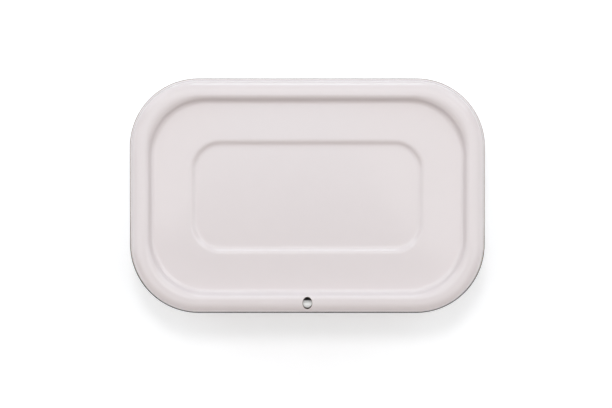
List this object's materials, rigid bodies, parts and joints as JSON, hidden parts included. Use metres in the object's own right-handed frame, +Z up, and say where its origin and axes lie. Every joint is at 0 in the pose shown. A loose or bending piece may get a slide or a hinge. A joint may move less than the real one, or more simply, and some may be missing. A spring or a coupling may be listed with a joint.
{
  "type": "enamelled tin with lift-off lid",
  "caption": "Shallow round-cornered rectangular enamelled steel tin. Its lift-off lid has a rolled rim, a step down to a flat panel, a shallow inner recess and a small hanging hole.",
  "frame": {"origin": "centre of the base, on the surface that the tin stands on", "axes": "+X along the length, +Y from the side with the hanging hole to the opposite side, +Z up through the lid"},
  "size_m": [0.155, 0.1026, 0.057],
  "materials": {
    "tin_enamel": "glossy vitreous enamel on both faces, warm white, dark burnt line along the curled edge",
    "lid_enamel": "glossy vitreous enamel on both faces, pale pinkish white, dark burnt line at the hem and round the hanging hole"
  },
  "bodies": {
    "tin": {"tin_body": "tin_enamel"},
    "lid": {"lid": "lid_enamel"}
  },
  "joints": [
    {"name": "lid_lift", "type": "slide", "parent": "tin", "child": "lid", "axis": [0, 0, 1], "range_m": [0, 0.06]}
  ]
}
